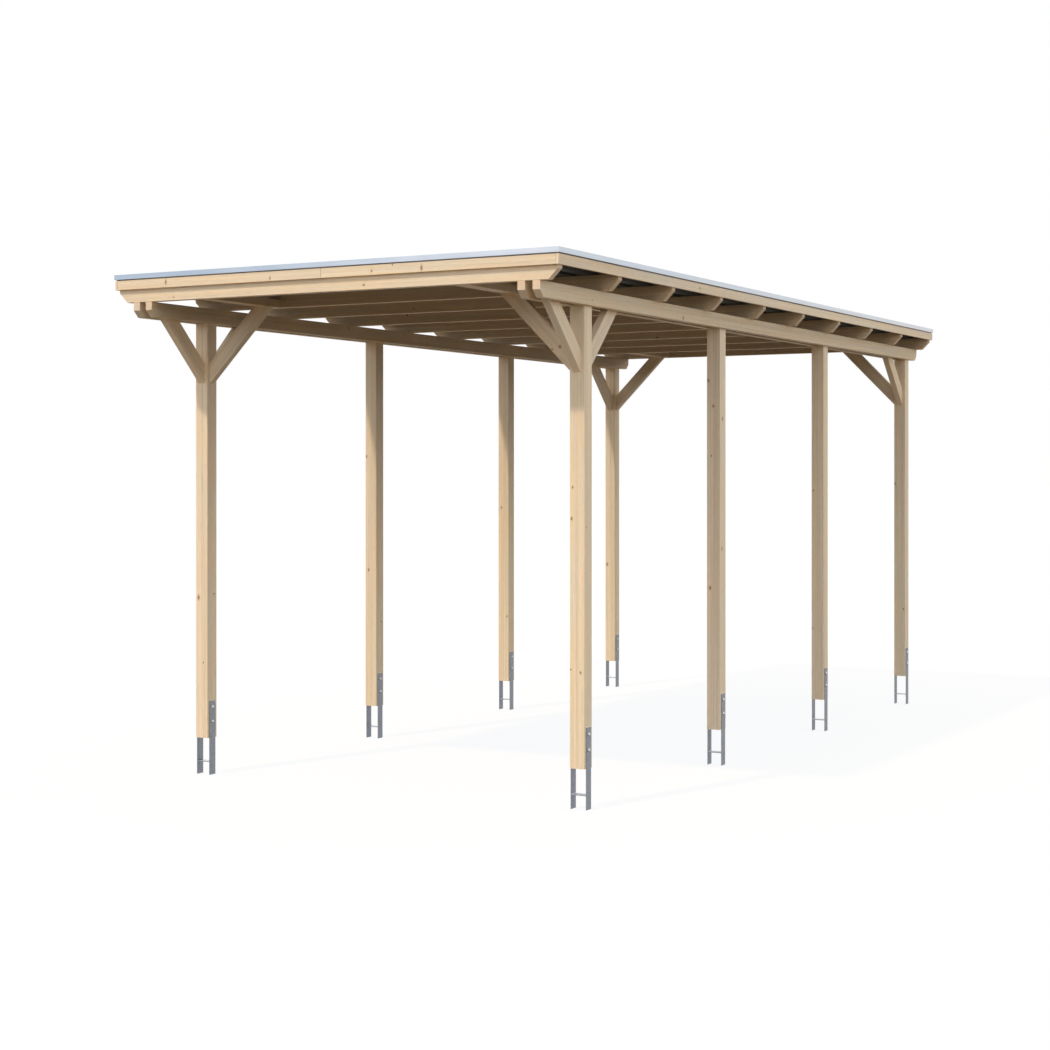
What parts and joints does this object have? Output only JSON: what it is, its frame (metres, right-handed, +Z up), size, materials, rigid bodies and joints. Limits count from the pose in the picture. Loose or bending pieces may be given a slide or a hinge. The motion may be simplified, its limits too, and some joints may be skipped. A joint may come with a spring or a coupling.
{
  "type": "carport",
  "caption": "Tall open timber carport: square posts on steel anchors, double purlins, knee braces and a level sheet-metal roof with wood fascia.",
  "frame": {"origin": "on the ground under the middle of the roof", "axes": "+Z up, -Y towards the drive-in front, +X to the right when seen from the front"},
  "size_m": [3.954, 8.56, 4.004],
  "materials": {
    "post_timber": "planed, untreated spruce",
    "purlin_timber": "planed, untreated spruce",
    "rafter_timber": "planed, untreated spruce",
    "brace_timber": "planed, untreated spruce",
    "blocking_timber": "planed, untreated spruce",
    "side_fascia_timber": "planed, untreated spruce",
    "end_fascia_timber": "planed, untreated spruce",
    "anchor_steel": "hot-dip galvanised",
    "trim_metal": "satin, pale blue-grey",
    "sheet_metal": "coated, dark grey"
  },
  "bodies": {
    "root": {"front_blocking": "blocking_timber", "front_fascia": "end_fascia_timber", "front_left_braces": "brace_timber", "front_right_braces": "brace_timber", "front_trim": "trim_metal", "left_anchors": "anchor_steel", "left_fascia": "side_fascia_timber", "left_inner_purlin": "purlin_timber", "left_outer_purlin": "purlin_timber", "left_post_1": "post_timber", "left_post_2": "post_timber", "left_post_3": "post_timber", "left_post_4": "post_timber", "left_trim": "trim_metal", "rafter_1": "rafter_timber", "rafter_10": "rafter_timber", "rafter_2": "rafter_timber", "rafter_3": "rafter_timber", "rafter_4": "rafter_timber", "rafter_5": "rafter_timber", "rafter_6": "rafter_timber", "rafter_7": "rafter_timber", "rafter_8": "rafter_timber", "rafter_9": "rafter_timber", "rear_blocking": "blocking_timber", "rear_fascia": "end_fascia_timber", "rear_left_braces": "brace_timber", "rear_right_braces": "brace_timber", "rear_trim": "trim_metal", "right_anchors": "anchor_steel", "right_fascia": "side_fascia_timber", "right_inner_purlin": "purlin_timber", "right_outer_purlin": "purlin_timber", "right_post_1": "post_timber", "right_post_2": "post_timber", "right_post_3": "post_timber", "right_post_4": "post_timber", "right_trim": "trim_metal", "roof_sheet_1": "sheet_metal", "roof_sheet_2": "sheet_metal", "roof_sheet_3": "sheet_metal", "roof_sheet_4": "sheet_metal"}
  },
  "joints": []
}
